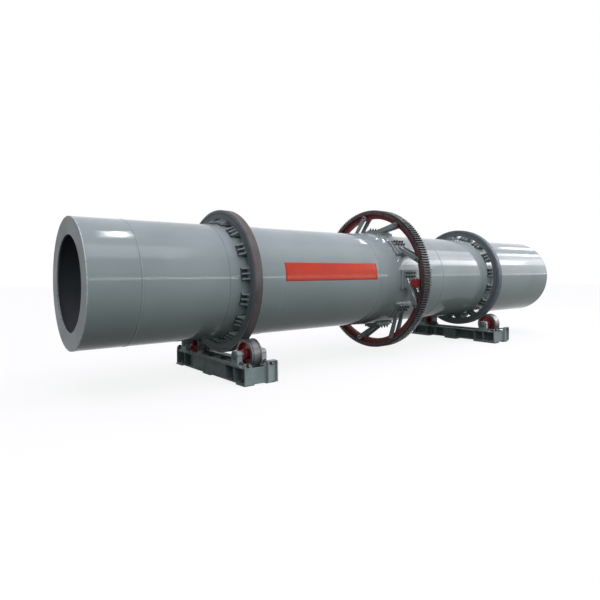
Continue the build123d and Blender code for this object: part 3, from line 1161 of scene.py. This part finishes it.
@dataclass
class GirthGear:
    """The two-piece gear with its joint bolts, and the brackets that carry it."""

    bracket_count: int = 8
    first_angle: float = -120.0
    sweep: float = 280.0
    split_angle: float = -3.5
    band_radius: float = 0.945
    saddle_half: float = 0.180
    foot_top: float = 1.000
    studs_along: tuple[float, ...] = (-0.118, -0.042, 0.042, 0.118)
    studs_across: tuple[float, ...] = (0.052, 0.125)
    weld_radius: float = 0.010
    lug_inner_radius: float = 1.088
    lug_inner_half: float = 0.045
    lug_slope: float = 0.1415
    joint_bolts_out: tuple[float, ...] = (1.130, 1.205)
    joint_bolts_along: tuple[float, ...] = (-0.055, 0.055)
    pin_radius: float = 1.285
    pin_lag: float = 23.0

    def angles(self) -> np.ndarray:
        """Angles of the brackets."""
        return self.first_angle + np.arange(self.bracket_count) * self.sweep / (self.bracket_count - 1)

    def foot_studs(self) -> None:
        """Stand two rows of studs on each bracket foot."""
        low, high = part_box("gear_bracket_feet")
        middle = (low.x + high.x) / 2
        stud = BRACKET_STUD.surface()
        rows = []
        for across in self.studs_across:
            for along in self.studs_along:
                place = AXIS.frames(middle + along, self.foot_top, self.angles())
                place.origins = place.origins + place.axes[:, 1] * across
                rows.append(repeated(stud, place))
        add_piece("bracket_foot_studs", joined(rows), "drum", BoltBlack())

    def saddle_welds(self) -> None:
        """Run beads along the edges of each saddle, where it meets the thick band of the shell."""
        low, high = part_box("gear_bracket_saddles")
        reach = np.degrees(np.arcsin(self.saddle_half / self.band_radius))
        beads = []
        for angle in self.angles():
            for side in (-reach, reach):
                flank = AXIS.place(np.linspace(low.x, high.x, 25), self.band_radius, angle + side)
                beads.append(swept(flank[None], self.weld_radius, ripple=0.12))
            for end in (low.x, high.x):
                across = AXIS.place(end, self.band_radius, angle + np.linspace(-reach, reach, 21))
                beads.append(swept(across[None], self.weld_radius, ripple=0.12))
        add_piece("saddle_welds", joined(beads), "drum", BEAD_PAINT)

    def pin_ends(self) -> None:
        """Put a locking bolt and its washer on both heads of every pin."""
        low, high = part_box("gear_bracket_pins")
        bolt = PIN_BOLT.surface()
        ends = []
        for x, way in ((low.x, -1.0), (high.x, 1.0)):
            origins = AXIS.place(x, self.pin_radius, self.angles() - self.pin_lag)
            ends.append(repeated(bolt, towards((way, 0, 0), origins)))
        add_piece("bracket_pin_bolts", joined(ends), "drum", BoltBlack())

    def joint_bolts(self) -> None:
        """Put bolts through the joint lugs, with heads on both sides.

        A lug is as thick as its inner half plus the slope times the way out from there, and the
        heads stand on its faces.
        """
        low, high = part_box("gear_upper_half")
        middle = (low.x + high.x) / 2
        bolt = JOINT_BOLT.surface()
        heads = []
        for base, side, radius, along in product(
            (self.split_angle, self.split_angle + 180), (-1, 1), self.joint_bolts_out,
            self.joint_bolts_along,
        ):
            place = AXIS.frames(np.array([middle + along]), radius, base)
            half = self.lug_inner_half + self.lug_slope * (radius - self.lug_inner_radius)
            along_drum, round_drum, outward = np.moveaxis(place.axes, 1, 0)
            axes = np.stack([along_drum, -side * outward, side * round_drum], axis=1)
            heads.append(repeated(bolt, Frames(axes, place.origins + side * half * round_drum)))
        add_piece("gear_joint_bolts", joined(heads), "drum", BoltBlack())

    def build(self) -> None:
        """Dress the halves and brackets and add their bolts and welds."""
        for name in ("gear_upper_half", "gear_lower_half"):
            dress(name, GearCasting())
        bracket_paint = DrumEnamel(name="bracket_enamel", slot="bracket_paint", waviness=0.001)
        for name in ("gear_bracket_saddles", "gear_bracket_feet", "gear_bracket_links"):
            dress(name, bracket_paint)
        dress("gear_bracket_pins", BrightSteel())
        self.foot_studs()
        self.saddle_welds()
        self.pin_ends()
        self.joint_bolts()


@dataclass
class RollerStation:
    """A welded frame with two rollers, their bearings, bolts and adjusting screws.

    Heights are above the floor, reaches and offsets from the middle of the tyre or of the
    part that carries the piece.
    """

    station: Station
    frame_top: float = 0.255
    frame_half: float = 1.160
    end_plate: float = 0.020
    ribs: tuple[float, ...] = (-0.200, 0.200, -0.620, 0.620)
    rib_half: float = 0.008
    rib_drop: float = 0.030
    weld_radius: float = 0.0055
    weld_inset: float = 0.004
    foot_top: float = 0.285
    foot_reach: float = 0.117
    foot_inset: float = 0.041
    housing_half: float = 0.088
    housing_width: float = 0.082
    housing_reach: float = 0.258
    shaft_radius: float = 0.040
    cover_radius: float = 0.060
    cover_thickness: float = 0.016
    cover_recess: float = 0.008
    cover_chamfer: float = 0.005
    boss_base_radius: float = 0.030
    boss_top_radius: float = 0.024
    seal_radius: float = 0.058
    seal_thickness: float = 0.007
    cover_bolt_count: int = 6
    cover_bolt_circle: float = 0.048
    stop_offset: float = -0.200
    stop_thickness: float = 0.026
    lug_offset: float = 0.197
    lug_thickness: float = 0.016
    screw_height: float = 0.302
    screw_radius: float = 0.013
    screw_end: float = 0.044
    anchors_along: tuple[float, ...] = (-1.000, -0.740, 0.620, 1.000)
    anchor_inset: float = 0.045
    flange: float = 0.016

    def node(self, name: str) -> str:
        """Full name of one of this station's solids."""
        return f"{self.station.value}_{name}"

    def roller_axis(self, side: Side) -> Point:
        """Middle of a roller, from its own box."""
        low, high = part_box(self.node(f"{side.name.lower()}_roller"))
        return tuple((low + high) / 2)

    def roller(self, side: Side) -> None:
        """Dress one roller and its shaft.

        Args:
            side: The roller's side.
        """
        x, y, z = self.roller_axis(side)
        name = f"{self.node(side.name.lower())}_roller"
        dress(name, RollerSteel(name=f"{name}_steel", x=x, y=y, z=z))
        dress(f"{name}_shaft", BrightSteel())

    def bearing_covers(self) -> None:
        """Close each housing's outer face with a bolted cover, and its inner face with a seal ring."""
        low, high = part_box(self.node("bearing_housings"))
        tyre_x = (low.x + high.x) / 2
        inner = tyre_x - low.x - self.housing_width
        wall, reach, chamfer = self.cover_thickness, self.cover_radius, self.cover_chamfer
        inside = [(0.0, self.cover_recess), (self.shaft_radius, self.cover_recess), (self.shaft_radius, 0.0)]
        rim = [(reach, 0.0), (reach, wall - chamfer), (reach - chamfer, wall)]
        boss = [(self.boss_base_radius, wall), (self.boss_top_radius, wall + chamfer), (0.0, wall + chamfer)]
        cover = turned(inside + rim + boss, 32)
        bore, thick = self.shaft_radius + 0.001, self.seal_thickness
        ring = [(bore, 0.0), (self.seal_radius, 0.0), (self.seal_radius, thick), (bore, thick), (bore, 0.0)]
        seal = turned(ring, 28)
        bolt = COVER_BOLT.surface()
        turns = (np.arange(self.cover_bolt_count) + 0.5) * 2 * np.pi / self.cover_bolt_count
        circle = np.stack([np.zeros_like(turns), np.cos(turns), np.sin(turns)], axis=1)
        circle = circle * self.cover_bolt_circle
        plates, bolts = [], []
        for side, way in product(Side, (-1.0, 1.0)):
            _, y, z = self.roller_axis(side)
            outer = np.array([[tyre_x + way * self.housing_reach, y, z]])
            plates.append(repeated(cover, towards((way, 0, 0), outer)))
            bolts.append(repeated(bolt, towards((way, 0, 0), outer + circle + np.array([way * wall, 0, 0]))))
            inward = np.array([[tyre_x + way * inner, y, z]])
            plates.append(repeated(seal, towards((-way, 0, 0), inward)))
        paint = StationEnamel(name="cover_enamel", slot="housing_paint")
        add_piece(self.node("bearing_covers"), joined(plates), "base", paint)
        add_piece(self.node("bearing_cover_bolts"), joined(bolts), "base", BoltBlack())

    def housing_bolts(self) -> None:
        """Bolt down both ends of each housing's foot, and put a grease nipple on its top."""
        low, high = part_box(self.node("bearing_housings"))
        nipple = turned(NIPPLE_PROFILE, 8)
        feet, tops = [], []
        for x, side in product((low.x + self.foot_inset, high.x - self.foot_inset), Side):
            middle = self.roller_axis(side)[1]
            feet += [(x, middle + step, self.foot_top) for step in (-self.foot_reach, self.foot_reach)]
            tops.append((x, middle, high.z - 0.001))
        bolts = repeated(HOUSING_STUD.surface(), towards((0, 0, 1), np.array(feet)))
        nipples = repeated(nipple, towards((0, 0, 1), np.array(tops)))
        add_piece(self.node("housing_bolts"), bolts, "base", BoltBlack())
        add_piece(self.node("grease_nipples"), nipples, "base", BrightSteel())

    def adjusting_screws(self) -> None:
        """Run a screw with two nuts from each stop and lug to the block of its housing."""
        low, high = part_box(self.node("bearing_housings"))
        nut = ADJUSTING_NUT.surface()
        tyre_x = (low.x + high.x) / 2
        rods, nuts = [], []
        for side in Side:
            way = side.value
            block = self.roller_axis(side)[1] + way * (self.housing_half + 0.001)
            for x, inner, outer in (
                (tyre_x + self.stop_offset, self.frame_half - self.stop_thickness, self.frame_half),
                (tyre_x + self.lug_offset, self.frame_half, self.frame_half + self.lug_thickness),
            ):
                start = (x, block, self.screw_height)
                end = (x, way * (outer + self.screw_end), self.screw_height)
                path = straight([start], [end], steps=60)
                rods.append(swept(path, self.screw_radius, sides=10, ripple=0.06))
                for facing, face in ((way, outer), (-way, inner)):
                    seat = [(x, way * face, self.screw_height)]
                    nuts.append(repeated(nut, towards((0, facing, 0), seat)))
        add_piece(self.node("adjusting_screws"), joined(rods), "base", BrightSteel())
        add_piece(self.node("adjusting_nuts"), joined(nuts), "base", BoltBlack())

    def frame_welds(self) -> None:
        """Lay beads up the corners of the end plates, under the stops and along the cross members."""
        low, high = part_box(self.node("frame_near_beam"))
        far_low, far_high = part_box(self.node("frame_far_beam"))
        starts, ends = [], []
        for way in (-1, 1):
            joint = way * (self.frame_half - self.end_plate)
            for x in (low.x, high.x, far_low.x, far_high.x):
                starts.append((x, joint, low.z + self.weld_inset))
                ends.append((x, joint, self.frame_top - self.weld_inset))
            for x in (low.x, far_low.x):
                starts.append((x, joint, self.frame_top))
                ends.append((x + high.x - low.x, joint, self.frame_top))
        for rib, step in product(self.ribs, (-self.rib_half, self.rib_half)):
            starts.append((high.x, rib + step, self.frame_top - self.rib_drop))
            ends.append((far_low.x, rib + step, self.frame_top - self.rib_drop))
        beads = swept(straight(starts, ends, steps=24), self.weld_radius, ripple=0.18)
        add_piece(self.node("frame_welds"), beads, "base", StationEnamel())

    def anchor_bolts(self) -> None:
        """Stand anchor studs on the bottom flanges of both beams, near their ends."""
        low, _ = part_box(self.node("frame_near_beam"))
        _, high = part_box(self.node("frame_far_beam"))
        places = product((low.x + self.anchor_inset, high.x - self.anchor_inset), self.anchors_along)
        origins = np.array([(x, y, low.z + self.flange) for x, y in places])
        studs = repeated(ANCHOR_STUD.surface(), towards((0, 0, 1), origins))
        add_piece(self.node("anchor_bolts"), studs, "base", BoltBlack())

    def build(self) -> None:
        """Dress the station and add its small parts."""
        for name in ("frame_near_beam", "frame_far_beam", "frame_cross_members", "frame_feet"):
            dress(self.node(name), StationEnamel())
        # The end plates, stops and housings take the paler copies, with painted light.
        dress(self.node("frame_end_plates"), END_PLATE_LIT_PAINT)
        dress(self.node("adjusting_stops"), STOP_LIT_PAINT)
        split = self.roller_axis(Side.RIGHT)[2]
        dress(self.node("bearing_housings"), replace(HOUSING_LIT_PAINT, split_height=split))
        for side in Side:
            self.roller(side)
        self.bearing_covers()
        self.housing_bolts()
        self.adjusting_screws()
        self.frame_welds()
        self.anchor_bolts()


# Lamps, floor and camera


@dataclass(frozen=True)
class Lamp:
    """A soft rectangular lamp, window or skylight that faces the drum from the side or above.

    Attributes:
        name: Its name.
        place: Its middle.
        size: Its length along X and its other side.
        power: Its power in watts.
        colour: Its colour.
        gleams_only: Whether it shows in glossy surfaces and lights nothing else.
    """

    name: str
    place: Point
    size: tuple[float, float]
    power: float
    colour: Colour = (1.0, 1.0, 1.0)
    gleams_only: bool = False

    def hang(self) -> None:
        """Hang it with its length along X, facing the point of the drum axis at its own X."""
        data = bpy.data.lights.new(self.name, "AREA")
        data.shape = "RECTANGLE"
        data.size, data.size_y = self.size
        data.energy = self.power
        data.color = self.colour
        lamp = bpy.data.objects.new(self.name, data)
        lamp.visible_diffuse = not self.gleams_only
        back = np.array(self.place) - np.array([self.place[0], 0.0, AXIS.height])
        back = back / np.linalg.norm(back)
        right = np.array([1.0, 0.0, 0.0])
        matrix = np.eye(4)
        matrix[:3] = np.stack([right, np.cross(back, right), back, self.place], axis=1)
        bpy.context.scene.collection.objects.link(lamp)
        lamp.matrix_world = Matrix(matrix.tolist())


def window(name: str, place: Point, size: tuple[float, float], radiance: float) -> Lamp:
    """Make a lamp that only gleams: its power is pi times its area and its radiance.

    Args:
        name: Its name.
        place: Its middle.
        size: Its length along X and its other side.
        radiance: How bright it looks, where 1 is white.

    Returns:
        The lamp.
    """
    return Lamp(name, place, size, np.pi * size[0] * size[1] * radiance, gleams_only=True)


LAMPS = (
    Lamp("high_softbox", (3.5, -3.5, 9.0), (20.0, 5.0), 380.0, (1.0, 0.96, 1.10)),
    Lamp("side_softbox", (4.0, -12.0, 6.0), (24.0, 4.0), 340.0, (1.02, 1.03, 0.97)),
    window("window_row_feed", (2.4, -9.0, 2.75), (17.0, 0.45), 18.0),
    window("window_row_rear", (19.5, -9.0, 2.75), (17.0, 0.45), 8.0),
    window("window_row_high", (-0.3, -9.0, 14.8), (6.5, 7.0), 7.0),
    window("gear_windows", (12.6, -9.0, 8.0), (4.2, 4.6), 8.0),
    window("rear_windows_low", (18.4, -9.0, 9.9), (9.5, 3.4), 12.0),
    window("rear_windows_middle", (25.5, -9.0, 10.8), (6.0, 3.6), 10.0),
    window("rear_wall_wash", (28.0, -9.2, 8.0), (24.0, 11.0), 3.0),
    window("rear_roof_wash", (18.0, -4.5, 9.2), (16.0, 7.0), 3.6),
    window("skylight_feed", (-3.22, -0.1, 9.0), (0.60, 1.8), 60.0),
    window("skylight_middle", (7.2, 1.9, 9.0), (1.3, 2.6), 22.0),
    window("skylight_rear", (19.8, 2.4, 9.0), (5.0, 1.6), 6.0),
    window("skylight_rear_near", (18.3, -2.0, 9.0), (4.6, 1.0), 8.0),
)


@dataclass
class Studio:
    """Pale floor, plain background, soft lamps and the photograph's camera.

    The camera's angles are in radians, and its focal length and middle row in pixels.
    """

    eye: Point = (-7.514, -7.1008, 1.6476)
    yaw: float = 0.6687
    pitch: float = -0.0282
    roll: float = -0.004
    focal_pixels: float = 486.4161
    frame_pixels: float = 600.0
    centre_row: float = 285.7648
    sensor_width: float = 36.0
    farthest: float = 400.0
    floor_half: float = 60.0
    floor_glow: float = 0.84
    floor_white: Colour = (0.92, 0.92, 0.92)
    floor_bounce: Colour = (0.06, 0.06, 0.06)
    horizon: Colour = (0.55, 0.80, 0.66)
    zenith: Colour = (1.31, 1.21, 1.46)
    feed_end_shade: Colour = (0.035, 0.045, 0.050)
    shade_across: float = -1.3
    shade_up: float = -0.5

    def camera(self) -> None:
        """Place the camera with the yaw, pitch and roll of the photograph's view."""
        forward = np.array([np.sin(self.yaw) * np.cos(self.pitch), np.cos(self.yaw) * np.cos(self.pitch),
                            np.sin(self.pitch)])
        level = np.array([np.cos(self.yaw), -np.sin(self.yaw), 0.0])
        up = np.cross(level, forward)
        right = level * np.cos(self.roll) + up * np.sin(self.roll)
        top = -level * np.sin(self.roll) + up * np.cos(self.roll)
        data = bpy.data.cameras.new("photograph_view")
        data.sensor_width = self.sensor_width
        data.lens = self.focal_pixels / self.frame_pixels * data.sensor_width
        data.shift_y = (self.centre_row - self.frame_pixels / 2) / self.frame_pixels
        data.clip_end = self.farthest
        camera = bpy.data.objects.new("photograph_view", data)
        matrix = np.eye(4)
        matrix[:3] = np.stack([right, top, -forward, self.eye], axis=1)
        bpy.context.scene.collection.objects.link(camera)
        camera.matrix_world = Matrix(matrix.tolist())
        bpy.context.scene.camera = camera

    def world(self) -> None:
        """White behind the machine, and a soft light on it that is weak from low at the feed end.

        The light goes from the horizon's to the zenith's colour with Z, and is mixed with the
        shade by the share shade_across times X plus shade_up times Z, between 0 and 1.
        """
        world = bpy.data.worlds.new("studio")
        bpy.context.scene.world = world
        world.use_nodes = True
        tree = Tree(world.node_tree)
        direction = tree.nodes.new("ShaderNodeTexCoord").outputs["Generated"]
        height = tree.coordinate(direction, "Z")
        sky = tree.mix(height, self.horizon, self.zenith)
        shade = tree.math("MULTIPLY", tree.coordinate(direction, "X"), self.shade_across)
        shade = tree.math("ADD", shade, tree.math("MULTIPLY", height, self.shade_up), clamp=True)
        background = tree.nodes["Background"]
        tree.put(background.inputs["Color"], tree.mix(shade, sky, self.feed_end_shade))
        white = tree.nodes.new("ShaderNodeBackground")
        tree.put(white.inputs["Color"], (1.0, 1.0, 1.0))
        seen = tree.blend(tree.seen_white(), background.outputs[0], white.outputs[0])
        tree.put(tree.nodes["World Output"].inputs["Surface"], seen)

    def floor(self) -> None:
        """Lay a pale floor that stays near white round the shadow, and bounces little light."""
        half = self.floor_half
        mesh = bpy.data.meshes.new("studio_floor")
        corners = [(-half, -half, 0), (half, -half, 0), (half, half, 0), (-half, half, 0)]
        mesh.from_pydata(corners, [], [(0, 1, 2, 3)])
        material = bpy.data.materials.new("pale_floor")
        material.use_nodes = True
        tree = Tree(material.node_tree)
        seen = tree.seen_white()
        paint = tree.nodes.new("ShaderNodeBsdfDiffuse")
        tree.put(paint.inputs["Color"], tree.mix(seen, self.floor_bounce, self.floor_white))
        glow = tree.nodes.new("ShaderNodeEmission")
        share = tree.math("MULTIPLY", seen, self.floor_glow)
        surface = tree.blend(share, paint.outputs[0], glow.outputs[0])
        tree.put(tree.nodes["Material Output"].inputs["Surface"], surface)
        mesh.materials.append(material)
        floor = bpy.data.objects.new("studio_floor", mesh)
        bpy.context.scene.collection.objects.link(floor)

    def build(self) -> None:
        """Set up camera, background, floor and lamps."""
        bpy.context.scene.view_settings.view_transform = "Standard"
        self.camera()
        self.world()
        self.floor()
        for lamp in LAMPS:
            lamp.hang()


def main() -> None:
    """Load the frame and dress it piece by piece."""
    logging.basicConfig(level=logging.INFO, format="%(message)s")
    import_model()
    Studio().build()
    Drum().build()
    for station in Station:
        TyreRing(station).build()
        RollerStation(station).build()
    GirthGear().build()


if __name__ == "__main__":
    main()
